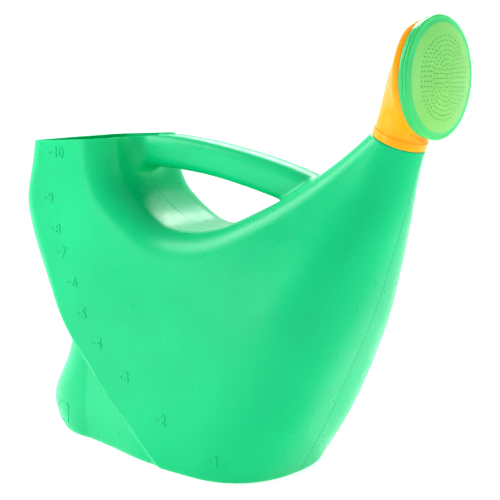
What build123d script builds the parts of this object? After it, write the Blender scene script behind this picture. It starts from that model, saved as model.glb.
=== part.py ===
from build123d import *
from math import cos, sin, radians, hypot
import os

# Ten litre plastic watering can. Millimetres, +Z up, +X towards the spout, base on Z = 0.
# Everything is symmetric about the plane Y = 0.

WALL = 1.7  # blown wall of the tank

# Plan sections of the tank: height, X of the widest point, X of the front nose,
# half width beside the mouth, half width at the widest point, squareness of the nose.
LEVELS = [
    (0.0, 78.0, 147.0, 69.0, 73.5, 2.8),
    (52.0, 82.0, 177.5, 69.0, 72.5, 2.3),
    (104.0, 108.0, 203.0, 68.5, 72.0, 2.05),
    (164.0, 138.0, 230.0, 66.0, 66.5, 2.0),
    (207.5, 168.5, 244.5, 64.0, 53.5, 2.0),
    (246.5, 203.0, 257.0, 63.0, 37.0, 2.0),
    (277.0, 226.5, 265.5, 62.0, 27.5, 2.0),
    (335.0, 258.0, 282.5, 60.0, 22.5, 2.0),
]
TAIL_X = -190.0
MOUTH_X = -78.0

# Side outline of the upper tank: rear face from the rim down to the crease, and the
# line over the top from past the neck down into the valley and up the front of the mouth.
REAR = [
    (-137.5, 303.0),
    (-145.5, 261.0),
    (-150.5, 235.5),
    (-147.0, 211.0),
    (-135.0, 182.5),
    (-119.5, 154.0),
    (-97.0, 121.0),
    (-76.0, 97.0),
    (-53.0, 74.5),
    (-33.0, 53.5),
    (-4.5, 29.5),
    (26.0, 4.5),
]
TOP = [
    (243.0, 324.4),
    (227.0, 311.0),
    (202.5, 290.5),
    (180.0, 274.0),
    (147.0, 252.5),
    (112.5, 234.5),
    (79.5, 220.5),
    (46.5, 215.5),
    (21.5, 218.0),
    (2.5, 226.5),
    (-14.5, 238.0),
    (-27.0, 249.0),
    (-34.5, 262.0),
    (-39.0, 281.0),
    (-40.5, 303.0),
]
SHOULDER_R = 18.0
END_CUT = 27.0  # depth of the square cut across the start of the top line
REAR_CORNER_R = 19.0

# Narrow heel under the rear crease: height, X of its rear end, half width.
HEEL = [
    (0.0, -131.5, 43.0),
    (12.0, -142.0, 47.5),
    (37.0, -148.0, 49.5),
    (72.5, -131.5, 52.0),
    (104.0, -119.5, 52.0),
    (140.0, -90.0, 45.0),
]
HEEL_X = -73.5
HEEL_SQUARENESS = 2.4
HEEL_SIDE = [(52.0, 69.0), (8.0, 65.5), (-31.0, 59.0)]

# Hollow handle: centre line in the side view, half width and half height.
HANDLE = [
    (-65.0, 283.0),
    (0.0, 283.0),
    (63.0, 277.0),
    (102.0, 270.0),
    (131.5, 263.5),
    (168.5, 252.5),
    (197.0, 242.0),
]
HANDLE_HALF_WIDTH = 15.0
HANDLE_HALF_HEIGHT = 16.0

# Open mouth: the rim lies in a plane that rises a little towards the handle.
RIM_X = -46.0
RIM_Z = 297.5
RIM_SLOPE = 5.3
RIM_END_X = -20.0

# Neck: a stub on an axis that leans forward.
NECK_X = 248.5
NECK_Z = 303.3
NECK_LEAN = 70.0
NECK_R = 21.1
NECK_WALL = 1.8
NECK_LENGTH = 7.0
SHOULDER_DROP = 2.5  # thickness of the shoulder around the neck

# Rose adapter: sleeve over the neck, flaring into a round upright flange.
# Each ring of the flare is given by its lowest and highest point in the side view.
FIT_GAP = 0.3
ADAPTER_WALL = 1.6
SLEEVE_START = 0.8
SLEEVE_END = 8.5
SLEEVE_R = 23.2
FLARE = [
    ((272.2, 302.3), (230.3, 318.0)),
    ((272.9, 304.6), (235.5, 343.0)),
    ((273.3, 307.0), (245.0, 367.5)),
    ((275.5, 311.5), (275.5, 401.5)),
]
ROSE_Z = 356.5
FLANGE_X = 273.3
FLANGE_R = 48.5
FLANGE_THICKNESS = 5.0
BOWL_R = 43.5
SPIGOT_R = 46.8
SPIGOT_LENGTH = 5.7

# Rose cap: perforated dome with a skirt that pushes over the spigot.
CAP_WALL = 1.6
SKIRT_R = 49.0
CAP_R = 50.0
CAP_RIM_X = 286.5
DOME_RISE = 6.8
DOME_R = 47.5
RIM_BEAD = 3.5
HOLE_R = 0.6
HOLE_PITCH = 3.7
HOLE_RINGS = 9

BIG = 500.0


def inset_curve(points, distance):
    """The same curve moved into the material by distance."""
    moved = []
    for k, (x, z) in enumerate(points):
        x0, z0 = points[max(k - 1, 0)]
        x1, z1 = points[min(k + 1, len(points) - 1)]
        length = hypot(x1 - x0, z1 - z0)
        moved.append((x - distance * (z1 - z0) / length, z + distance * (x1 - x0) / length))
    return moved


def round_end(centre_x, end_x, half_width, squareness):
    """Quarter of a rounded end, from its side point to its tip."""
    steps = 4
    points = []
    for k in range(steps):
        a = radians(90 * k / steps)
        x = centre_x + (end_x - centre_x) * sin(a) ** (2 / squareness)
        points.append((x, -half_width * cos(a) ** (2 / squareness)))
    points.append((end_x, 0.0))
    return points


def plan_face(half, height):
    """Closed plan section from the points of one half, mirrored about Y = 0."""
    other = [(x, -y) for x, y in reversed(half[:-1])]
    side = Spline(*half, *other)
    return Plane.XY.offset(height) * make_face([side, Line(side @ 1, side @ 0)])


def tank_section(level, inset):
    height, wide_x, nose_x, mouth_half, wide_half, squareness = level
    half = [(TAIL_X, inset - mouth_half), (MOUTH_X, inset - mouth_half)]
    half += round_end(wide_x, nose_x - inset, wide_half - inset, squareness)
    return plan_face(half, height)


def heel_section(level, inset):
    height, end_x, half_width = level
    half = [(x, inset - y) for x, y in HEEL_SIDE]
    half += round_end(HEEL_X, end_x + inset, half_width - inset, HEEL_SQUARENESS)
    return plan_face(half, height)


def side_outline(inset):
    rear = inset_curve(REAR, inset)
    top = inset_curve(TOP, inset)
    run = TOP[0][0] - TOP[1][0]
    rise = TOP[0][1] - TOP[1][1]
    share = END_CUT / hypot(run, rise)
    cut_end = (top[0][0] + share * rise, top[0][1] - share * run)
    front = (BIG, cut_end[1])
    under_rear = (rear[-1][0] + inset, -BIG / 10)
    under_front = (BIG, -BIG / 10)
    edges = [
        Spline(*rear),
        Line(rear[-1], under_rear),
        Line(under_rear, under_front),
        Line(under_front, front),
        Line(front, cut_end),
        Line(cut_end, top[0]),
        Spline(*top),
        Line(top[-1], rear[0]),
    ]
    return Plane.XZ * make_face(edges)


def shoulder_edges(solid):
    found = []
    for edge in solid.edges():
        box = edge.bounding_box()
        if box.min.X < -30 and box.max.X > 100 and box.min.Z > 180 and box.size.Y > 5:
            found.append(edge)
    return found


def rear_corner_edges(solid):
    found = []
    for edge in solid.edges():
        box = edge.bounding_box()
        if box.min.X < -130 and box.max.Z > 280 and box.min.Z < 80 and abs(edge.center().Y) > 20:
            found.append(edge)
    return found


def tank_body(inset, shoulder_drop):
    """Tank and spout without handle, drawn smaller by inset and cut off below the neck."""
    widths = loft([tank_section(level, inset) for level in LEVELS])
    upper = widths & extrude(side_outline(inset), BIG, both=True)
    upper = fillet(shoulder_edges(upper), SHOULDER_R - inset)
    upper = fillet(rear_corner_edges(upper), REAR_CORNER_R - inset)
    heel = loft([heel_section(level, inset) for level in HEEL])
    above_floor = Pos(0, 0, BIG + inset) * Box(4 * BIG, 4 * BIG, 2 * BIG)
    below_neck = along_neck(-shoulder_drop) * (Pos(0, 0, -BIG) * Box(4 * BIG, 4 * BIG, 2 * BIG))
    return (upper + heel) & above_floor & below_neck


def handle_bar(inset):
    path = Plane.XZ * Spline(*HANDLE)
    start = Plane(path @ 0, x_dir=(0, 1, 0), z_dir=path % 0)
    oval = start * Ellipse(HANDLE_HALF_WIDTH - inset, HANDLE_HALF_HEIGHT - inset)
    return sweep(oval, path)


def along_neck(distance):
    """Plane across the neck axis, this far above the neck's shoulder."""
    direction = Vector(cos(radians(NECK_LEAN)), 0, sin(radians(NECK_LEAN)))
    origin = Vector(NECK_X, 0, NECK_Z) + direction * distance
    return Plane(origin, x_dir=(0, 1, 0), z_dir=direction)


def neck_rod(radius, start, end):
    return extrude(along_neck(start) * Circle(radius), end - start)


def facing(x, z=ROSE_Z):
    """Plane across the rose axis."""
    return Plane((x, 0, z), x_dir=(0, 1, 0), z_dir=(1, 0, 0))


def rose_disc(radius, start_x, end_x):
    return extrude(facing(start_x) * Circle(radius), end_x - start_x)


def make_tank():
    rim_plane = Plane((RIM_X, 0, RIM_Z), z_dir=(-sin(radians(RIM_SLOPE)), 0, cos(radians(RIM_SLOPE))))
    lid_space = rim_plane * (Pos(RIM_END_X - RIM_X - BIG / 2, 0, BIG / 2) * Box(BIG, BIG, BIG))
    outer = tank_body(0.0, 0.0) + handle_bar(0.0) + neck_rod(NECK_R, -6, NECK_LENGTH)
    outer = outer - lid_space
    inner = tank_body(WALL, SHOULDER_DROP) + handle_bar(WALL)
    inner = inner + neck_rod(NECK_R - NECK_WALL, -12, NECK_LENGTH + 5)
    return outer - inner


def half_disc(low, high, inset):
    """Half of a flare ring, its flat side on the plane Y = 0."""
    across = Vector(high[0] - low[0], 0, high[1] - low[1])
    radius = across.length / 2
    foot = Vector(low[0], 0, low[1]) + across.normalized() * inset
    head = Vector(high[0], 0, high[1]) - across.normalized() * inset
    side = (foot + head) * 0.5 + Vector(0, radius - inset, 0)
    return make_face([ThreePointArc(foot, side, head), Line(head, foot)])


def flare(inset):
    half = loft([half_disc(low, high, inset) for low, high in FLARE])
    return half + mirror(half, about=Plane.XZ)


def make_rose_adapter():
    flange_front = FLANGE_X + FLANGE_THICKNESS
    outer = flare(0.0) + neck_rod(SLEEVE_R, SLEEVE_START, SLEEVE_END)
    outer = outer + rose_disc(FLANGE_R, FLANGE_X, flange_front)
    outer = outer + rose_disc(SPIGOT_R, FLANGE_X + 1, flange_front + SPIGOT_LENGTH)
    hollow = flare(ADAPTER_WALL - 0.1)
    bowl = rose_disc(BOWL_R, FLANGE_X + ADAPTER_WALL, BIG)
    return outer - hollow - neck_rod(NECK_R + FIT_GAP, -5, SLEEVE_END) - bowl


def make_rose_cap():
    skirt_x = FLANGE_X + FLANGE_THICKNESS + FIT_GAP
    bore_r = SPIGOT_R + FIT_GAP
    top_x = CAP_RIM_X + DOME_RISE
    with BuildPart() as cap:
        with BuildSketch(Plane.XZ):
            with BuildLine():
                Polyline(
                    (skirt_x, bore_r),
                    (skirt_x, SKIRT_R),
                    (CAP_RIM_X - RIM_BEAD, SKIRT_R),
                    (CAP_RIM_X - RIM_BEAD, CAP_R),
                    (CAP_RIM_X, CAP_R),
                    (CAP_RIM_X, DOME_R),
                )
                ThreePointArc(
                    (CAP_RIM_X, DOME_R),
                    (CAP_RIM_X + DOME_RISE * 0.74, DOME_R / 2),
                    (top_x, 0),
                )
                Line((top_x, 0), (top_x - CAP_WALL, 0))
                ThreePointArc(
                    (top_x - CAP_WALL, 0),
                    (CAP_RIM_X + DOME_RISE * 0.74 - CAP_WALL, DOME_R / 2),
                    (CAP_RIM_X - CAP_WALL, bore_r),
                )
                Line((CAP_RIM_X - CAP_WALL, bore_r), (skirt_x, bore_r))
            make_face()
        revolve(axis=Axis.X)
    drills = [Circle(HOLE_R)]
    for ring in range(1, HOLE_RINGS + 1):
        count = round(5.9 * ring)
        for k in range(count):
            a = radians(360 * k / count)
            drills.append(Pos(ring * HOLE_PITCH * cos(a), ring * HOLE_PITCH * sin(a)) * Circle(HOLE_R))
    pattern = Sketch() + drills
    pins = extrude(facing(CAP_RIM_X, 0) * pattern, DOME_RISE * 2)
    return Pos(0, 0, ROSE_Z) * (cap.part - pins)


os.makedirs("parts", exist_ok=True)
export_step(make_tank(), "parts/tank.step")
export_step(make_rose_adapter(), "parts/rose_adapter.step")
export_step(make_rose_cap(), "parts/rose_cap.step")
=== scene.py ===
import bpy
import bmesh
import math
import numpy as np
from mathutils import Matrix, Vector
from mathutils.bvhtree import BVHTree
from mathutils.geometry import delaunay_2d_cdt


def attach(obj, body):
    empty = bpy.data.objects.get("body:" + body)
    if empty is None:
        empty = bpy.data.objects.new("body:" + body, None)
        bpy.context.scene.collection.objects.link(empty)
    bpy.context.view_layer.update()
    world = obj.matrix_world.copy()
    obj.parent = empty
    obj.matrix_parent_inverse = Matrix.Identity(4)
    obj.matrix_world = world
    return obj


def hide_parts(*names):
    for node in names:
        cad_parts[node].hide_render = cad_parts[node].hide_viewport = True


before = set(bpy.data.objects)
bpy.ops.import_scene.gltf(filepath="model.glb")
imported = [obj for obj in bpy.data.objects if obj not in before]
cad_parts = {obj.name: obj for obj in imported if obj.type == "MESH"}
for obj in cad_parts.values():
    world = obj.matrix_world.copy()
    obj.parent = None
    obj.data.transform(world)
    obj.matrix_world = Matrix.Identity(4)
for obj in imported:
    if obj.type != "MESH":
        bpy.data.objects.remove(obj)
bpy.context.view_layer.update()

# Shapes are worked out in millimetres, in the frame's own axes, and turned to metres when a mesh is made.
MM = 0.001

# ---------------------------------------------------------------- driving shapes of the tank
# Plan sections: height, X of the widest point, X of the nose, half width beside the mouth,
# half width at the widest point, squareness of the nose.
LEVELS = np.array([
    (0.0, 78.0, 147.0, 69.0, 73.5, 2.4),
    (52.0, 82.0, 177.5, 69.0, 72.5, 3.4),
    (104.0, 108.0, 203.0, 68.5, 72.0, 3.4),
    (164.0, 138.0, 230.0, 66.0, 66.5, 2.8),
    (207.5, 168.5, 244.5, 64.0, 53.5, 2.6),
    (246.5, 203.0, 257.0, 63.0, 37.0, 2.35),
    (277.0, 226.5, 265.5, 62.0, 27.5, 2.0),
    (316.5, 248.0, 277.0, 60.5, 23.0, 2.0),
])
MOUTH_X = -78.0

# Side outline of the rear face, with the radius of its corners, down to the sharp crease.
REAR = np.array([
    (-137.5, 303.0), (-145.5, 261.0), (-150.5, 235.5), (-147.0, 211.0), (-135.0, 182.5), (-119.5, 154.0),
    (-97.0, 121.0), (-76.0, 97.0), (-53.0, 74.5), (-33.0, 53.5), (-4.5, 29.5), (26.0, 4.5),
])
REAR_RADIUS = np.array([20.0, 22.0, 22.0, 22.0, 20.0, 15.0, 5.0, 1.6, 1.2, 1.2, 1.5, 2.0])

# Line over the top, from the neck down into the valley and up the front of the mouth.
TOP = np.array([
    (227.0, 311.0), (202.5, 290.5), (180.0, 274.0), (147.0, 252.5), (112.5, 234.5), (79.5, 220.5),
    (46.5, 215.5), (21.5, 218.0), (2.5, 226.5), (-14.5, 238.0), (-27.0, 249.0), (-34.5, 262.0),
    (-39.0, 281.0), (-40.5, 303.0),
])
TOP_RADIUS = np.array([20.0, 20.0, 21.0, 23.0, 25.0, 26.0, 27.0, 27.0, 27.0, 28.0, 28.0, 28.0, 28.0, 28.0])

# Heel: height, X of its rear end, half width beside the end.
HEEL = np.array([
    (0.0, -133.0, 48.0), (12.0, -143.5, 50.5), (37.0, -149.0, 52.0), (72.5, -129.0, 49.0),
    (104.0, -115.0, 47.0), (140.0, -90.0, 43.0),
])
HEEL_X = -73.5
HEEL_SQUARENESS = 2.4
HEEL_SIDE = np.array([(-73.5, 52.0), (-31.0, 59.0), (8.0, 66.5), (45.0, 70.0)])
HEEL_DEPTH = 12.0

HANDLE = np.array([
    (-65.0, 283.0), (0.0, 283.0), (63.0, 277.0), (102.0, 270.0), (131.5, 263.5), (168.5, 252.5),
    (197.0, 242.0),
])
HANDLE_HALF_WIDTH = 15.0
HANDLE_HALF_HEIGHT = 16.0
HANDLE_SQUARENESS = 2.7

WALL = 1.7
BASE_EDGE_R = 4.0
BASE_HOLLOW = 2.5
RIM_POINT = (-46.0, 0.0, 295.3)
RIM_SLOPE = math.radians(3.6)

NECK_POINT = np.array([248.5, 0.0, 303.3])
NECK_LEAN = math.radians(70.0)
NECK_R = 21.1
NECK_TOP = 7.0
NECK_AXIS = np.array([math.cos(NECK_LEAN), 0.0, math.sin(NECK_LEAN)])

ROSE_Z = 356.5
GRID = 2.1
TABLE_STEP = 1.25


# ---------------------------------------------------------------- curves and fields
def natural_spline(knots, values):
    """Natural cubic spline through values at knots, as a function of any array."""
    knots = np.asarray(knots, float)
    values = np.asarray(values, float)
    count = len(knots)
    gap = np.diff(knots)
    matrix = np.eye(count)
    right = np.zeros(values.shape)
    for i in range(1, count - 1):
        matrix[i, i - 1:i + 2] = gap[i - 1], 2 * (gap[i - 1] + gap[i]), gap[i]
        right[i] = 6 * ((values[i + 1] - values[i]) / gap[i] - (values[i] - values[i - 1]) / gap[i - 1])
    bend = np.linalg.solve(matrix, right)

    def at(x):
        x = np.clip(np.asarray(x, float), knots[0], knots[-1])
        i = np.clip(np.searchsorted(knots, x) - 1, 0, count - 2)
        h = gap[i]
        a = (knots[i + 1] - x) / h
        b = (x - knots[i]) / h
        if values.ndim > 1:
            a, b, h = a[..., None], b[..., None], h[..., None]
        curve = ((a ** 3 - a) * bend[i] + (b ** 3 - b) * bend[i + 1]) * h ** 2 / 6
        return a * values[i] + b * values[i + 1] + curve
    return at


def smooth_line(points, step=3.0):
    """Points along a smooth curve through the given ones."""
    length = np.concatenate([[0], np.cumsum(np.linalg.norm(np.diff(points, axis=0), axis=1))])
    at = natural_spline(length, points)
    s = np.linspace(0, length[-1], int(length[-1] / step) + 2)
    return at(s), s, length


def line_distance(line, x, z):
    """Distance to a polyline in the side view, which side of it (left is negative), and where along it."""
    best = np.full(x.shape, 1e9)
    side = np.ones(x.shape)
    where = np.zeros(x.shape)
    start = 0.0
    for (x0, z0), (x1, z1) in zip(line[:-1], line[1:]):
        ex, ez = x1 - x0, z1 - z0
        length = math.hypot(ex, ez)
        t = np.clip(((x - x0) * ex + (z - z0) * ez) / length ** 2, 0, 1)
        gap = np.hypot(x - x0 - t * ex, z - z0 - t * ez)
        closer = gap < best - 1e-9
        best = np.where(closer, gap, best)
        side = np.where(closer, np.sign(ez * (x - x0) - ex * (z - z0)), side)
        where = np.where(closer, start + t * length, where)
        start += length
    return best, side, where


def extended(line, reach=300.0):
    first = line[0] + (line[0] - line[1]) / np.linalg.norm(line[0] - line[1]) * reach
    last = line[-1] + (line[-1] - line[-2]) / np.linalg.norm(line[-1] - line[-2]) * reach
    return np.vstack([first, line, last]), reach


def side_field(points, radii):
    """Field of one outline curve: signed distance, and the corner radius at the nearest point."""
    line, s, length = smooth_line(points)
    long_line, reach = extended(line)
    radius_at = natural_spline(length, radii)

    def field(x, z):
        gap, side, where = line_distance(long_line, x, z)
        return gap * side, np.maximum(radius_at(where - reach), 1.0)
    return field


rear_field = side_field(REAR, REAR_RADIUS)
top_field = side_field(TOP, TOP_RADIUS)
handle_line = smooth_line(HANDLE)[0]
level_at = natural_spline(LEVELS[:, 0], LEVELS[:, 1:])
heel_at = natural_spline(HEEL[:, 0], HEEL[:, 1:])
heel_side_at = natural_spline(HEEL_SIDE[:, 0], HEEL_SIDE[:, 1])


TABLE_X = np.arange(-180.0, 305.0, TABLE_STEP)
TABLE_Z = np.arange(-20.0, 350.0, TABLE_STEP)


def side_tables():
    """What depends on the side view alone, worked out once on a grid."""
    x, z = np.meshgrid(TABLE_X, TABLE_Z, indexing="ij")
    gap = line_distance(handle_line, x, z)[0]
    return np.stack([*rear_field(x, z), *top_field(x, z), gap], -1)


side_table = side_tables()


def side_values(x, z):
    """Rear distance and radius, top distance and radius, and distance to the handle's centre line."""
    u = np.clip((x - TABLE_X[0]) / TABLE_STEP, 0, len(TABLE_X) - 1.001)
    v = np.clip((z - TABLE_Z[0]) / TABLE_STEP, 0, len(TABLE_Z) - 1.001)
    i, j = u.astype(int), v.astype(int)
    a, b = (u - i)[..., None], (v - j)[..., None]
    low = side_table[i, j] * (1 - a) + side_table[i + 1, j] * a
    high = side_table[i, j + 1] * (1 - a) + side_table[i + 1, j + 1] * a
    return np.moveaxis(low * (1 - b) + high * b, -1, 0)


def smooth_step(t):
    t = np.clip(t, 0, 1)
    return t * t * (3 - 2 * t)


def round_end(x, y, half_length, half_width, squareness):
    """Signed distance to a superelliptic end centred on the origin, roughly."""
    u = np.abs(x) / half_length
    v = np.abs(y) / half_width
    size = np.maximum((u ** squareness + v ** squareness) ** (1 / squareness), 1e-6)
    return np.hypot(x, y) * (1 - 1 / size)


def both(a, b, radius, power=2.15):
    """Inside both fields, with a soft edge of that radius."""
    a = a + radius
    b = b + radius
    soft = (np.maximum(a, 0) ** power + np.maximum(b, 0) ** power) ** (1 / power)
    return np.minimum(np.maximum(a, b), 0) + soft - radius


def either(a, b, blend):
    """Inside one or the other field, with a filled corner of that size."""
    h = np.clip(0.5 + 0.5 * (b - a) / blend, 0, 1)
    return b * (1 - h) + a * h - blend * h * (1 - h)


def width_field(x, y, z):
    wide_x, nose_x, mouth_half, wide_half, squareness = np.moveaxis(level_at(z), -1, 0)
    share = smooth_step((x - MOUTH_X) / (wide_x - MOUTH_X))
    flank = np.abs(y) - (mouth_half + (wide_half - mouth_half) * share)
    nose = round_end(x - wide_x, y, nose_x - wide_x, wide_half, squareness)
    return np.where(x < wide_x, flank, nose)


def heel_field(x, y, z, rear):
    """The heel stands under the rear face and reaches a little way in behind it."""
    end_x, half = np.moveaxis(heel_at(z), -1, 0)
    side_start, side_end = HEEL_SIDE[0, 1], HEEL_SIDE[-1, 1]
    growth = (heel_side_at(x) - side_start) / (side_end - side_start)
    flank = np.abs(y) - (half + growth * (side_end - half))
    end = round_end(x - HEEL_X, y, HEEL_X - end_x, half, HEEL_SQUARENESS)
    return np.maximum(np.where(x > HEEL_X, flank, end), -rear - HEEL_DEPTH)


def tank_field(x, y, z):
    """Negative inside the closed outer shape of the tank with its handle."""
    x, y, z = (np.asarray(v, float) for v in (x, y, z))
    rear, rear_radius, top, top_radius, gap = side_values(x, z)
    crown = 4.5 + 2.5 * smooth_step((200.0 - z) / 60.0)
    rear = rear - 3.0 + crown * (y / 60.0) ** 2
    width = width_field(x, y, z)
    upper = np.maximum(both(rear, width, rear_radius), both(top, width, top_radius))
    crease_fill = 0.1 + 5.0 * smooth_step((rear + HEEL_DEPTH) / 10.0)
    body = either(upper, heel_field(x, y, z, rear), crease_fill)
    bar_height = HANDLE_HALF_HEIGHT + 0.6 * smooth_step((x - 40.0) / 100.0)
    bar = (np.abs(y) / HANDLE_HALF_WIDTH) ** HANDLE_SQUARENESS + (gap / bar_height) ** HANDLE_SQUARENESS
    bar = (bar ** (1 / HANDLE_SQUARENESS) - 1) * HANDLE_HALF_WIDTH
    body = either(body, bar, 6.0 + 12.0 * smooth_step((60.0 - x) / 80.0))
    floor = -z + BASE_HOLLOW * smooth_step((-body - 9.0) / 12.0)
    return both(body, floor, BASE_EDGE_R)


# ---------------------------------------------------------------- surface from a field
def surface_nets(values, origin, step):
    """Vertices and quads where a grid of values changes sign."""
    inside = values < 0
    corners = [(i, j, k) for i in (0, 1) for j in (0, 1) for k in (0, 1)]
    cell_shape = [n - 1 for n in values.shape]

    def shifted(array, corner):
        cut = tuple(slice(c, c + n) for c, n in zip(corner, cell_shape))
        return array[cut]

    count = sum(shifted(inside, c).astype(int) for c in corners)
    active = (count > 0) & (count < 8)
    number = np.full(active.shape, -1)
    cells = np.argwhere(active)
    number[active] = np.arange(len(cells))
    at = {c: shifted(values, c)[active] for c in corners}
    place = np.zeros((len(cells), 3))
    hits = np.zeros(len(cells))
    for a in corners:
        for axis in range(3):
            if a[axis]:
                continue
            b = tuple(1 if k == axis else a[k] for k in range(3))
            cross = (at[a] < 0) != (at[b] < 0)
            share = np.where(cross, at[a] / np.where(cross, at[a] - at[b], 1), 0)
            point = np.array(a, float) + np.zeros((len(cells), 3))
            point[:, axis] += share
            place[cross] += point[cross]
            hits[cross] += 1
    vertices = np.array(origin) + (cells + place / hits[:, None]) * step
    quads = []
    for axis in range(3):
        low = [slice(1, n - 1) for n in values.shape]
        low[axis] = slice(0, values.shape[axis] - 1)
        high = list(low)
        high[axis] = slice(1, values.shape[axis])
        first = inside[tuple(low)]
        edges = np.argwhere(first != inside[tuple(high)])
        outward = first[tuple(edges.T)]
        base = edges + np.array([0 if k == axis else 1 for k in range(3)])
        u, v = (axis + 1) % 3, (axis + 2) % 3
        ring = []
        for du, dv in ((1, 1), (0, 1), (0, 0), (1, 0)):
            cell = base.copy()
            cell[:, u] -= du
            cell[:, v] -= dv
            ring.append(number[tuple(cell.T)])
        ring = np.stack(ring, 1)
        ring[~outward] = ring[~outward][:, ::-1]
        quads.append(ring)
    return vertices, np.concatenate(quads)


def onto_surface(field, points, rounds=3):
    """Moves points to where the field is zero."""
    points = points.copy()
    small = 0.05
    for _ in range(rounds):
        value = field(*points.T)
        slope = np.stack([field(*(points + small * axis).T) for axis in np.eye(3)], 1) - value[:, None]
        slope /= small
        size = np.maximum((slope ** 2).sum(1), 0.2)
        points -= np.clip(value / size, -1.5, 1.5)[:, None] * slope
    return points


def make_object(name, vertices, faces, smooth=True):
    mesh = bpy.data.meshes.new(name)
    mesh.from_pydata([tuple(v) for v in np.asarray(vertices) * MM], [], [tuple(map(int, f)) for f in faces])
    mesh.validate()
    if smooth:
        mesh.shade_smooth()
    piece = bpy.data.objects.new(name, mesh)
    bpy.context.scene.collection.objects.link(piece)
    return piece


def apply_modifier(piece, kind, **settings):
    modifier = piece.modifiers.new(kind, kind)
    for key, value in settings.items():
        setattr(modifier, key, value)
    bpy.context.view_layer.objects.active = piece
    bpy.ops.object.modifier_apply(modifier=modifier.name)


# ---------------------------------------------------------------- tank
def closed_tank():
    xs = np.arange(-165.0, 290.0, GRID)
    ys = np.arange(0.0, 85.0, GRID)
    zs = np.arange(-7.5, 335.0, GRID)
    x, y, z = np.meshgrid(xs, ys, zs, indexing="ij")
    half = tank_field(x, y, z)
    whole = np.concatenate([half[:, :0:-1], half], axis=1)
    vertices, quads = surface_nets(whole, (xs[0], -ys[-1], zs[0]), GRID)
    return onto_surface(tank_field, vertices), quads


def grow_ring(bm, edges, place):
    """Extrudes a boundary loop once; place gives each new vertex its position. Returns the new loop."""
    made = bmesh.ops.extrude_edge_only(bm, edges=edges)["geom"]
    for vertex in (g for g in made if isinstance(g, bmesh.types.BMVert)):
        vertex.co = Vector(place(np.array(vertex.co)))
    return [g for g in made if isinstance(g, bmesh.types.BMEdge)]


def neck_place(radius, height):
    def place(point):
        along = point / MM - NECK_POINT
        across = along - NECK_AXIS * along.dot(NECK_AXIS)
        reach = np.linalg.norm(across)
        wanted = radius if radius > 0 else reach + radius
        return (NECK_POINT + NECK_AXIS * height + across / reach * wanted) * MM
    return place


def cut_open(piece):
    """Cuts the mouth and the neck open and draws the neck out of its shoulder."""
    bm = bmesh.new()
    bm.from_mesh(piece.data)
    rim_normal = Vector((-math.sin(RIM_SLOPE), 0, math.cos(RIM_SLOPE)))
    cuts = (
        (Vector(RIM_POINT) * MM, rim_normal),
        (Vector(NECK_POINT) * MM, Vector(NECK_AXIS)),
    )
    for point, normal in cuts:
        everything = bm.verts[:] + bm.edges[:] + bm.faces[:]
        bmesh.ops.bisect_plane(bm, geom=everything, plane_co=point, plane_no=normal, clear_outer=True)
    edges = [e for e in bm.edges if e.is_boundary and e.verts[0].co.x > 0.2]
    for radius, height in ((-0.5, 0.45), (NECK_R + 0.6, 0.6), (NECK_R, 1.0), (NECK_R, NECK_TOP)):
        edges = grow_ring(bm, edges, neck_place(radius, height))
    bmesh.ops.recalc_face_normals(bm, faces=bm.faces)
    bm.to_mesh(piece.data)
    bm.free()


def make_tank():
    vertices, quads = closed_tank()
    piece = make_object("can_tank", vertices, quads)
    cut_open(piece)
    points = [v.co[:] for v in piece.data.vertices]
    skin = BVHTree.FromPolygons(points, [p.vertices[:] for p in piece.data.polygons])
    apply_modifier(piece, "SOLIDIFY", thickness=WALL * MM, offset=-1.0, use_even_offset=False, use_rim=True)
    sharp = math.radians(60)
    apply_modifier(piece, "BEVEL", width=0.5 * MM, segments=2, limit_method="ANGLE", angle_limit=sharp)
    piece.data.shade_smooth()
    piece.data.set_sharp_from_angle(angle=math.radians(50))
    return piece, skin


tank, tank_skin = make_tank()
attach(tank, "can")
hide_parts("tank")


# ---------------------------------------------------------------- rings, text and other raised marks
def ring_mesh(name, rings, segments=96):
    """Closed skin through circles, the last joined to the first.

    Each circle is given by its front and rear point in the plane Y = 0.
    """
    angles = np.linspace(0, 2 * math.pi, segments, endpoint=False)
    vertices = []
    for front, rear in rings:
        front = np.array([front[0], 0.0, front[1]])
        rear = np.array([rear[0], 0.0, rear[1]])
        centre = (front + rear) / 2
        radius = np.linalg.norm(front - rear) / 2
        across = (front - rear) / (2 * radius)
        for a in angles:
            sideways = np.array([0.0, radius * math.sin(a), 0.0])
            vertices.append(centre + across * radius * math.cos(a) + sideways)
    faces = []
    for r in range(len(rings)):
        s = (r + 1) % len(rings)
        for k in range(segments):
            m = (k + 1) % segments
            faces.append((r * segments + k, r * segments + m, s * segments + m, s * segments + k))
    piece = make_object(name, vertices, faces)
    bm = bmesh.new()
    bm.from_mesh(piece.data)
    bmesh.ops.recalc_face_normals(bm, faces=bm.faces)
    bm.to_mesh(piece.data)
    bm.free()
    piece.data.set_sharp_from_angle(angle=math.radians(40))
    return piece


def upright(x, radius):
    """Ring across the rose axis."""
    return (x, ROSE_Z - radius), (x, ROSE_Z + radius)


def across_neck(height, radius):
    """Ring across the neck axis."""
    centre = NECK_POINT + NECK_AXIS * height
    reach = np.array([NECK_AXIS[2], 0.0, -NECK_AXIS[0]]) * radius
    front, rear = centre + reach, centre - reach
    return (front[0], front[2]), (rear[0], rear[2])


def rounded_steps(make, start, end, bulge, steps=4):
    """Rings round a quarter of a soft corner, from start to end, both (place, radius)."""
    rings = []
    for k in range(steps + 1):
        a = math.radians(90 * k / steps)
        u, v = (math.sin(a), 1 - math.cos(a)) if bulge else (1 - math.cos(a), math.sin(a))
        rings.append(make(start[0] + (end[0] - start[0]) * u, start[1] + (end[1] - start[1]) * v))
    return rings


def project(x, z):
    """Point of the tank's near side at this place in the side view, and the outward direction there."""
    hit, normal = tank_skin.ray_cast(Vector((x, -150.0, z)) * MM, Vector((0, 1, 0)))[:2]
    return np.array(hit) / MM, np.array(normal)


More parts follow.
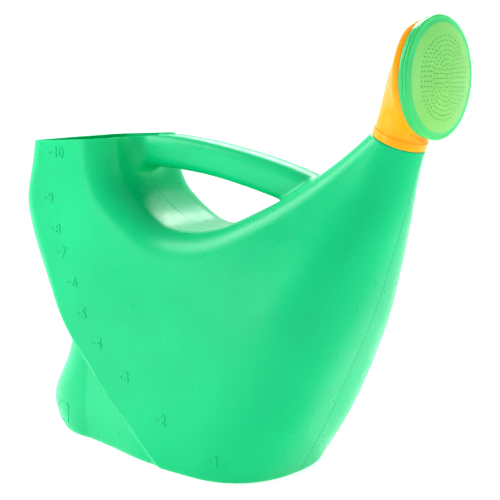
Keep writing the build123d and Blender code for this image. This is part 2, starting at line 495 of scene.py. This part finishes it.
def raised_text(name, words, x, z, height=10.5):
    """Raised characters on the near side, starting at x, with their middle at height z."""
    curve = bpy.data.curves.new(name, "FONT")
    curve.body = words
    curve.size = height * 1.38
    curve.align_x = "LEFT"
    curve.align_y = "CENTER"
    curve.extrude = 0.35
    curve.bevel_depth = 0.2
    curve.bevel_resolution = 1
    curve.resolution_u = 5
    flat = bpy.data.objects.new(name, curve)
    bpy.context.scene.collection.objects.link(flat)
    mesh = bpy.data.meshes.new_from_object(flat)
    bpy.data.objects.remove(flat)
    bpy.data.curves.remove(curve)
    for vertex in mesh.vertices:
        point, outward = project(x + vertex.co.x, z + vertex.co.y)
        vertex.co = Vector(point + outward * (vertex.co.z - 0.05)) * MM
    mesh.update()
    piece = bpy.data.objects.new(name, mesh)
    bpy.context.scene.collection.objects.link(piece)
    bm = bmesh.new()
    bm.from_mesh(mesh)
    bmesh.ops.remove_doubles(bm, verts=bm.verts, dist=1e-6)
    bmesh.ops.recalc_face_normals(bm, faces=bm.faces)
    bm.to_mesh(mesh)
    bm.free()
    return piece


def raised_line(name, path, width, height, closed=False):
    """Soft raised line on the near side along a path of (x, z) points."""
    path = np.array(path, float)
    count = len(path)
    section = [(-0.5, -0.6), (-0.38, 0.5), (-0.15, 0.95), (0.15, 0.95), (0.38, 0.5), (0.5, -0.6)]
    vertices = []
    for k in range(count):
        before = path[(k - 1) % count if closed else max(k - 1, 0)]
        after = path[(k + 1) % count if closed else min(k + 1, count - 1)]
        along = (after - before) / np.linalg.norm(after - before)
        for across, up in section:
            x = path[k][0] - along[1] * across * width
            z = path[k][1] + along[0] * across * width
            point, outward = project(x, z)
            vertices.append(point + outward * up * height)
    size = len(section)
    faces = []
    for k in range(count if closed else count - 1):
        m = (k + 1) % count
        for i in range(size):
            j = (i + 1) % size
            faces.append((k * size + i, k * size + j, m * size + j, m * size + i))
    if not closed:
        faces.append(tuple(range(size)))
        faces.append(tuple((count - 1) * size + i for i in reversed(range(size))))
    piece = make_object(name, vertices, faces)
    bm = bmesh.new()
    bm.from_mesh(piece.data)
    bmesh.ops.recalc_face_normals(bm, faces=bm.faces)
    bm.to_mesh(piece.data)
    bm.free()
    return piece


def rounded_frame(corners, radius, steps=5):
    """Closed path through slanted corners, each one rounded."""
    path = []
    count = len(corners)
    for k in range(count):
        here = np.array(corners[k], float)
        before = np.array(corners[k - 1], float)
        after = np.array(corners[(k + 1) % count], float)
        start = here + (before - here) / np.linalg.norm(before - here) * radius
        end = here + (after - here) / np.linalg.norm(after - here) * radius
        for t in np.linspace(0, 1, steps):
            path.append((1 - t) ** 2 * start + 2 * t * (1 - t) * here + t * t * end)
    return path


# ---------------------------------------------------------------- litre scale, blank frame and mould seam
# Height marks, ten litres at the top: place of each numeral in the side view.
MARKS = {
    "10": (-101.0, 280.0), "9": (-108.0, 236.0), "8": (-98.0, 207.0), "7": (-90.0, 185.0),
    "6": (-74.0, 158.0), "5": (-60.0, 130.0), "4": (-39.0, 104.0), "3": (-2.6, 78.0),
    "2": (45.0, 46.7), "1": (107.0, 20.0),
}
DASH = 7.0
FRAME_CORNERS = [(-122.0, 10.0), (-104.0, 9.0), (-99.0, 30.0), (-117.0, 32.0)]
FRAME_CORNER_R = 4.0


def make_scale():
    made = []
    for words, (x, z) in MARKS.items():
        made.append(raised_text("can_mark_" + words, words, x, z))
        path = [(x - 2.5 - DASH * (1 - t), z) for t in np.linspace(0, 1, 6)]
        made.append(raised_line("can_dash_" + words, path, 1.5, 0.5))
    return made


def make_seam():
    """Ridge left by the mould halves, all round the tank in the plane Y = 0."""
    bm = bmesh.new()
    bm.from_mesh(tank.data)
    everything = bm.verts[:] + bm.edges[:] + bm.faces[:]
    cut = bmesh.ops.bisect_plane(bm, geom=everything, plane_co=(0, 0, 0), plane_no=(0, 1, 0))["geom_cut"]
    section = [(-0.7, -0.3), (-0.3, 0.1), (0.0, 0.2), (0.3, 0.1), (0.7, -0.3)]
    number = {}
    vertices = []
    faces = []

    def ring(vertex):
        if vertex.index not in number:
            point = np.array(vertex.co) / MM
            value = tank_field(*point)
            slope = np.array([tank_field(*(point + 0.05 * axis)) - value for axis in np.eye(3)])
            outward = slope / np.linalg.norm(slope)
            number[vertex.index] = len(vertices)
            vertices.extend(point + outward * up + np.array([0, across, 0]) for across, up in section)
        return number[vertex.index]

    bm.verts.index_update()
    for edge in (g for g in cut if isinstance(g, bmesh.types.BMEdge)):
        middle = np.array(edge.verts[0].co + edge.verts[1].co) / 2 / MM
        if abs(tank_field(*middle)) > 0.4 or middle[2] < 3.0:
            continue
        a, b = ring(edge.verts[0]), ring(edge.verts[1])
        for i in range(len(section)):
            j = (i + 1) % len(section)
            faces.append((a + i, a + j, b + j, b + i))
    bm.free()
    piece = make_object("can_seam", vertices, faces)
    bm = bmesh.new()
    bm.from_mesh(piece.data)
    bmesh.ops.recalc_face_normals(bm, faces=bm.faces)
    bm.to_mesh(piece.data)
    bm.free()
    return piece


can_trim = make_scale()
frame_path = rounded_frame(FRAME_CORNERS, FRAME_CORNER_R)
can_trim.append(raised_line("can_frame", frame_path, 1.6, 0.6, closed=True))
can_trim.append(make_seam())
for piece in can_trim:
    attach(piece, "can")


# ---------------------------------------------------------------- rose adapter
SLEEVE_START = 0.8
SLEEVE_END = 8.5
SLEEVE_R = 23.2
SLEEVE_BORE = 21.4
ADAPTER_WALL = 1.5
# Rings of the flare, front and rear point of each.
FLARE = np.array([
    (272.4, 302.6, 230.0, 318.2), (272.4, 304.6, 238.5, 343.0), (272.2, 307.0, 248.8, 367.5),
    (271.9, 312.0, 271.9, 401.0),
])
FLANGE_X = 271.9
FLANGE_R = 48.5
FLANGE_FRONT = 278.3
SPIGOT_R = 46.8
SPIGOT_END = 284.0
BOWL_R = 43.5


def flare_rings(inset, count=26):
    travel = np.concatenate([[0], np.cumsum(np.linalg.norm(np.diff(FLARE[:, 2:], axis=0), axis=1))])
    at = natural_spline(travel, FLARE)
    rings = []
    for s in np.linspace(0, travel[-1], count):
        front_x, front_z, rear_x, rear_z = at(s)
        across = np.array([rear_x - front_x, rear_z - front_z])
        across = across / np.linalg.norm(across) * inset
        rings.append(((front_x + across[0], front_z + across[1]), (rear_x - across[0], rear_z - across[1])))
    return rings


def make_adapter():
    rings = rounded_steps(across_neck, (SLEEVE_START, SLEEVE_R - 0.6), (SLEEVE_START + 0.6, SLEEVE_R), True)
    rings += [across_neck(h, SLEEVE_R) for h in np.linspace(SLEEVE_START + 1.5, SLEEVE_END - 0.8, 5)]
    rings += flare_rings(0.0)
    rings += rounded_steps(upright, (FLANGE_X, FLANGE_R - 1.2), (FLANGE_X + 1.2, FLANGE_R), False)
    rings += rounded_steps(upright, (FLANGE_FRONT - 1.0, FLANGE_R), (FLANGE_FRONT, FLANGE_R - 1.0), True)[1:]
    rings += [upright(FLANGE_FRONT, SPIGOT_R + 0.3), upright(FLANGE_FRONT + 0.3, SPIGOT_R)]
    rings += rounded_steps(upright, (SPIGOT_END - 0.5, SPIGOT_R), (SPIGOT_END, SPIGOT_R - 0.5), True)
    rings += [upright(SPIGOT_END, BOWL_R + 0.5), upright(SPIGOT_END - 0.5, BOWL_R)]
    rings += [upright(FLANGE_X + ADAPTER_WALL + 1.0, BOWL_R), upright(FLANGE_X + ADAPTER_WALL, BOWL_R - 0.6)]
    rings += flare_rings(ADAPTER_WALL)[-2::-1]
    rings += [across_neck(h, SLEEVE_BORE) for h in (SLEEVE_END - 1.0, SLEEVE_START + 1.0)]
    rings += [across_neck(SLEEVE_START, SLEEVE_BORE + 0.5)]
    return ring_mesh("rose_adapter_skin", rings, 120)


adapter = make_adapter()
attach(adapter, "rose")
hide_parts("rose_adapter")


# ---------------------------------------------------------------- rose cap
CAP_WALL = 1.6
SKIRT_X = 278.6
SKIRT_R = 49.0
CAP_R = 50.0
CAP_RIM_X = 286.5
RIM_BEAD = 3.5
DOME_R = 47.5
DOME_RISE = 6.8
HOLE_R = 0.62
HOLE_PITCH = 3.7
HOLE_RINGS = 9
FIELD_R = 38.0
RIM_START = 44.0
ROUND = 96


def dome_x(radius):
    return CAP_RIM_X + DOME_RISE * (1 - (radius / DOME_R) ** 2)


def hole_centres():
    centres = [(0.0, 0.0)]
    for ring in range(1, HOLE_RINGS + 1):
        count = round(5.9 * ring)
        for k in range(count):
            a = 2 * math.pi * k / count
            centres.append((ring * HOLE_PITCH * math.cos(a), ring * HOLE_PITCH * math.sin(a)))
    return np.array(centres)


def circle(radius, count, centre=(0.0, 0.0)):
    angles = np.arange(count) * 2 * math.pi / count
    return np.stack([centre[0] + radius * np.cos(angles), centre[1] + radius * np.sin(angles)], 1)


def perforated_field():
    """Triangles of the flat field of holes, with the loops of the holes."""
    centres = hole_centres()
    rim = circle(FIELD_R, ROUND)
    loops = [circle(HOLE_R, 10, c) for c in centres]
    radii = np.arange(HOLE_PITCH * 0.5, FIELD_R - 1, HOLE_PITCH)
    filling = [circle(r, max(8, round(r * 2.0)), (0, 0)) for r in radii]
    points = np.concatenate([rim] + loops + filling)
    edges = [(k, (k + 1) % ROUND) for k in range(ROUND)]
    start = ROUND
    for loop in loops:
        edges += [(start + k, start + (k + 1) % len(loop)) for k in range(len(loop))]
        start += len(loop)
    made = delaunay_2d_cdt([Vector(p) for p in points], edges, [], 0, 1e-5)
    flat = np.array([v[:] for v in made[0]])
    triangles = []
    for face in made[2]:
        middle = flat[list(face)].mean(0)
        if np.hypot(*(centres - middle).T).min() > HOLE_R * 0.9:
            triangles.append(face)
    return flat, triangles


def make_cap():
    bm = bmesh.new()

    def corner(radius_y, radius_z, x):
        return bm.verts.new(Vector((x, radius_y, ROSE_Z + radius_z)) * MM)

    flat, triangles = perforated_field()
    sheets = []
    for depth in (0.0, CAP_WALL):
        reach = np.hypot(flat[:, 0], flat[:, 1])
        sheets.append([corner(u, v, dome_x(r) - depth) for (u, v), r in zip(flat, reach)])
    front, back = sheets
    used = {}
    for a, b, c in triangles:
        bm.faces.new((front[a], front[b], front[c]))
        bm.faces.new((back[c], back[b], back[a]))
        for pair in ((a, b), (b, c), (c, a)):
            key = tuple(sorted(pair))
            used[key] = used.get(key, 0) + 1
    for (a, b), count in used.items():
        if count == 1 and max(np.hypot(*flat[a]), np.hypot(*flat[b])) < FIELD_R - 0.5:
            bm.faces.new((front[a], back[a], back[b], front[b]))
    bore = SPIGOT_R + 0.3
    profile = [(r, dome_x(r)) for r in np.linspace(FIELD_R, DOME_R - 2.0, 5)]
    profile += [(DOME_R - 1.2, dome_x(DOME_R - 2.0) - 0.55), (DOME_R - 0.4, dome_x(DOME_R - 2.0) - 0.45)]
    middle_x = CAP_RIM_X - RIM_BEAD / 2
    for a in np.radians(np.linspace(70, -80, 9)):
        profile.append((CAP_R - 1.9 + 1.9 * math.cos(a), middle_x + (RIM_BEAD / 2 + 0.25) * math.sin(a)))
    profile += [(SKIRT_R, CAP_RIM_X - RIM_BEAD - 0.6), (SKIRT_R, SKIRT_X + 0.5), (SKIRT_R - 0.4, SKIRT_X)]
    profile += [(bore + 0.3, SKIRT_X), (bore, SKIRT_X + 0.4), (bore, CAP_RIM_X - CAP_WALL - 1.2)]
    profile += [(bore - 1.0, CAP_RIM_X - CAP_WALL)]
    profile += [(r, dome_x(r) - CAP_WALL) for r in np.linspace(DOME_R - 4.0, FIELD_R, 4)]
    rows = [[corner(u, v, x) for u, v in circle(r, ROUND)] for r, x in profile]
    for low, high in zip(rows[:-1], rows[1:]):
        for k in range(ROUND):
            m = (k + 1) % ROUND
            bm.faces.new((low[k], low[m], high[m], high[k]))
    bmesh.ops.remove_doubles(bm, verts=bm.verts, dist=2e-6)
    bmesh.ops.recalc_face_normals(bm, faces=bm.faces)
    mesh = bpy.data.meshes.new("rose_cap_skin")
    bm.to_mesh(mesh)
    bm.free()
    mesh.shade_smooth()
    mesh.set_sharp_from_angle(angle=math.radians(45))
    piece = bpy.data.objects.new("rose_cap_skin", mesh)
    bpy.context.scene.collection.objects.link(piece)
    return piece


cap = make_cap()
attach(cap, "cap")
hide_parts("rose_cap")


# ---------------------------------------------------------------- materials
def material(name, settings):
    made = bpy.data.materials.new(name)
    made.use_nodes = True
    nodes = made.node_tree.nodes
    shader = nodes["Principled BSDF"]
    for key, value in settings.items():
        shader.inputs[key].default_value = value
    return made, nodes, made.node_tree.links, shader


def noise(nodes, links, coordinates, scale, detail=3.0, roughness=0.55):
    node = nodes.new("ShaderNodeTexNoise")
    node.inputs["Scale"].default_value = scale
    node.inputs["Detail"].default_value = detail
    node.inputs["Roughness"].default_value = roughness
    links.new(coordinates.outputs["Object"], node.inputs["Vector"])
    return node


def spread(nodes, links, source, low, high):
    """Value of source stretched from 0.35..0.65 to low..high."""
    node = nodes.new("ShaderNodeMapRange")
    node.inputs["From Min"].default_value = 0.35
    node.inputs["From Max"].default_value = 0.65
    node.inputs["To Min"].default_value = low
    node.inputs["To Max"].default_value = high
    links.new(source, node.inputs["Value"])
    return node.outputs["Result"]


def two_tone(nodes, links, source, first, second, socket):
    node = nodes.new("ShaderNodeMix")
    node.data_type = "RGBA"
    node.inputs["A"].default_value = first
    node.inputs["B"].default_value = second
    links.new(spread(nodes, links, source, 0.0, 1.0), node.inputs["Factor"])
    links.new(node.outputs["Result"], socket)


def bumps(nodes, links, layers, socket):
    """Chains bumps, each (height socket, depth in metres, strength)."""
    before = None
    for height, depth, strength in layers:
        node = nodes.new("ShaderNodeBump")
        node.inputs["Distance"].default_value = depth
        node.inputs["Strength"].default_value = strength
        links.new(height, node.inputs["Height"])
        if before is not None:
            links.new(before.outputs["Normal"], node.inputs["Normal"])
        before = node
    links.new(before.outputs["Normal"], socket)


def plastic(name, first, second, settings, rough, grain_scale, grain_depth, wave_depth, scratch_depth):
    """Moulded plastic: two close shades, uneven gloss, fine grain, slow waves and light scuffs."""
    made, nodes, links, shader = material(name, settings)
    coordinates = nodes.new("ShaderNodeTexCoord")
    broad = noise(nodes, links, coordinates, 9.0, 2.0)
    patches = noise(nodes, links, coordinates, 60.0, 4.0)
    grain = noise(nodes, links, coordinates, grain_scale, 2.0, 0.6)
    wave = noise(nodes, links, coordinates, 14.0, 1.0)
    stretched = nodes.new("ShaderNodeMapping")
    stretched.inputs["Scale"].default_value = (40.0, 40.0, 900.0)
    stretched.inputs["Rotation"].default_value = (0.5, 0.9, 0.3)
    links.new(coordinates.outputs["Object"], stretched.inputs["Vector"])
    scuffs = nodes.new("ShaderNodeTexNoise")
    scuffs.inputs["Scale"].default_value = 1.0
    scuffs.inputs["Detail"].default_value = 4.0
    links.new(stretched.outputs["Vector"], scuffs.inputs["Vector"])
    two_tone(nodes, links, broad.outputs["Fac"], first, second, shader.inputs["Base Color"])
    links.new(spread(nodes, links, patches.outputs["Fac"], *rough), shader.inputs["Roughness"])
    layers = [
        (wave.outputs["Fac"], wave_depth, 1.0),
        (scuffs.outputs["Fac"], scratch_depth, 1.0),
        (grain.outputs["Fac"], grain_depth, 1.0),
    ]
    bumps(nodes, links, layers, shader.inputs["Normal"])
    return made


tank_plastic = plastic(
    "tank_plastic", (0.0, 0.39, 0.155, 1.0), (0.0, 0.43, 0.17, 1.0),
    {
        "Specular IOR Level": 0.2, "Subsurface Weight": 0.25, "Subsurface Radius": (0.2, 1.0, 0.5),
        "Subsurface Scale": 0.006,
    },
    (0.27, 0.36), 1500.0, 0.00005, 0.0009, 0.000002,
)
adapter_plastic = plastic(
    "adapter_plastic", (0.76, 0.27, 0.0, 1.0), (0.80, 0.31, 0.0, 1.0),
    {
        "Specular IOR Level": 0.25, "Subsurface Weight": 0.25, "Subsurface Radius": (1.0, 0.5, 0.1),
        "Subsurface Scale": 0.003,
    },
    (0.22, 0.32), 1800.0, 0.00002, 0.0004, 0.000010,
)
cap_plastic = plastic(
    "cap_plastic", (0.30, 0.80, 0.26, 1.0), (0.36, 0.84, 0.24, 1.0),
    {
        "Specular IOR Level": 0.5, "Transmission Weight": 0.55, "IOR": 1.2, "Subsurface Weight": 0.6,
        "Subsurface Radius": (0.6, 1.0, 0.5), "Subsurface Scale": 0.004,
    },
    (0.16, 0.24), 1600.0, 0.000015, 0.0003, 0.000008,
)
cap_rim_plastic = plastic(
    "cap_rim_plastic", (0.07, 0.62, 0.24, 1.0), (0.10, 0.66, 0.22, 1.0),
    {
        "Specular IOR Level": 0.5, "Transmission Weight": 0.4, "IOR": 1.2, "Subsurface Weight": 0.6,
        "Subsurface Radius": (0.6, 1.0, 0.5), "Subsurface Scale": 0.004,
    },
    (0.16, 0.24), 1600.0, 0.000015, 0.0003, 0.000008,
)
for piece in [tank] + can_trim:
    piece.data.materials.clear()
    piece.data.materials.append(tank_plastic)
adapter.data.materials.append(adapter_plastic)
cap.data.materials.append(cap_plastic)
cap.data.materials.append(cap_rim_plastic)
for polygon in cap.data.polygons:
    reach = math.hypot(polygon.center.y, polygon.center.z - ROSE_Z * MM)
    polygon.material_index = int(reach > RIM_START * MM)


# ---------------------------------------------------------------- floor, light and camera
def make_floor():
    rings = [circle(r, 96) for r in (0.8, 2.5, 9.0, 40.0)]
    vertices = [(0.0, 0.0, 0.0)] + [(u, v, 0.0) for ring in rings for u, v in ring]
    faces = [(0, 1 + k, 1 + (k + 1) % 96) for k in range(96)]
    for r in range(len(rings) - 1):
        low, high = 1 + 96 * r, 97 + 96 * r
        faces += [(low + k, high + k, high + (k + 1) % 96, low + (k + 1) % 96) for k in range(96)]
    floor = make_object("floor", np.array(vertices) / MM, faces)
    glow = {"Emission Color": (1.0, 1.0, 1.0, 1.0), "Emission Strength": 0.5}
    matt = {"Specular IOR Level": 0.1, "Roughness": 0.9}
    made, nodes, links, shader = material("floor_paper", {**matt, **glow})
    coordinates = nodes.new("ShaderNodeTexCoord")
    fibre = noise(nodes, links, coordinates, 800.0)
    darker, lighter = (0.9, 0.9, 0.9, 1.0), (0.93, 0.93, 0.93, 1.0)
    two_tone(nodes, links, fibre.outputs["Fac"], darker, lighter, shader.inputs["Base Color"])
    bumps(nodes, links, [(fibre.outputs["Fac"], 0.00004, 1.0)], shader.inputs["Normal"])
    floor.data.materials.append(made)
    return floor


def softbox(name, place, target, width, height, strength):
    lamp = bpy.data.lights.new(name, "AREA")
    lamp.shape = "RECTANGLE"
    lamp.size = width
    lamp.size_y = height
    lamp.energy = strength
    made = bpy.data.objects.new(name, lamp)
    bpy.context.scene.collection.objects.link(made)
    made.location = place
    made.rotation_euler = (Vector(target) - made.location).to_track_quat("-Z", "Y").to_euler()
    return made


floor = make_floor()

CAMERA_PLACE = Vector((0.8494, -0.9204, 0.3901))
CAMERA_AZIMUTH = math.radians(39.5)
CAMERA_ELEVATION = math.radians(9.15)
camera_back = Vector((
    math.sin(CAMERA_AZIMUTH) * math.cos(CAMERA_ELEVATION),
    -math.cos(CAMERA_AZIMUTH) * math.cos(CAMERA_ELEVATION),
    math.sin(CAMERA_ELEVATION),
))
lens = bpy.data.cameras.new("camera")
lens.sensor_width = 36.0
lens.lens = 96.1
camera = bpy.data.objects.new("camera", lens)
bpy.context.scene.collection.objects.link(camera)
camera.location = CAMERA_PLACE
camera.rotation_euler = camera_back.to_track_quat("Z", "Y").to_euler()
bpy.context.scene.camera = camera

middle = (0.05, 0.0, 0.18)
softbox("back", (-1.26, -0.55, 1.05), middle, 0.7, 1.2, 20.0)
softbox("left", (-0.85, -1.53, 0.42), middle, 0.42, 0.8, 4.5)
softbox("top", (-0.65, 0.97, 1.4), middle, 0.8, 0.8, 20.0)
softbox("right", (1.35, 0.48, 0.5), (0.28, 0.0, 0.36), 0.45, 0.95, 5.0)

# The sky is brightest near the horizon, as a white studio is, and dimmer overhead.
SKY_SINE = (0.15, 0.5)
SKY_STRENGTH = (1.1, 0.65)

world = bpy.data.worlds.new("studio")
bpy.context.scene.world = world
world.use_nodes = True
sky = world.node_tree.nodes["Background"]
direction = world.node_tree.nodes.new("ShaderNodeTexCoord")
parts = world.node_tree.nodes.new("ShaderNodeSeparateXYZ")
fade = world.node_tree.nodes.new("ShaderNodeMapRange")
fade.interpolation_type = "SMOOTHSTEP"
fade.inputs["From Min"].default_value = SKY_SINE[0]
fade.inputs["From Max"].default_value = SKY_SINE[1]
fade.inputs["To Min"].default_value = SKY_STRENGTH[0]
fade.inputs["To Max"].default_value = SKY_STRENGTH[1]
world.node_tree.links.new(direction.outputs["Generated"], parts.inputs["Vector"])
world.node_tree.links.new(parts.outputs["Z"], fade.inputs["Value"])
world.node_tree.links.new(fade.outputs["Result"], sky.inputs["Strength"])
sky.inputs["Color"].default_value = (1.0, 1.0, 1.0, 1.0)
bpy.context.scene.view_settings.view_transform = "Standard"
bpy.context.scene.view_settings.look = "Medium High Contrast"
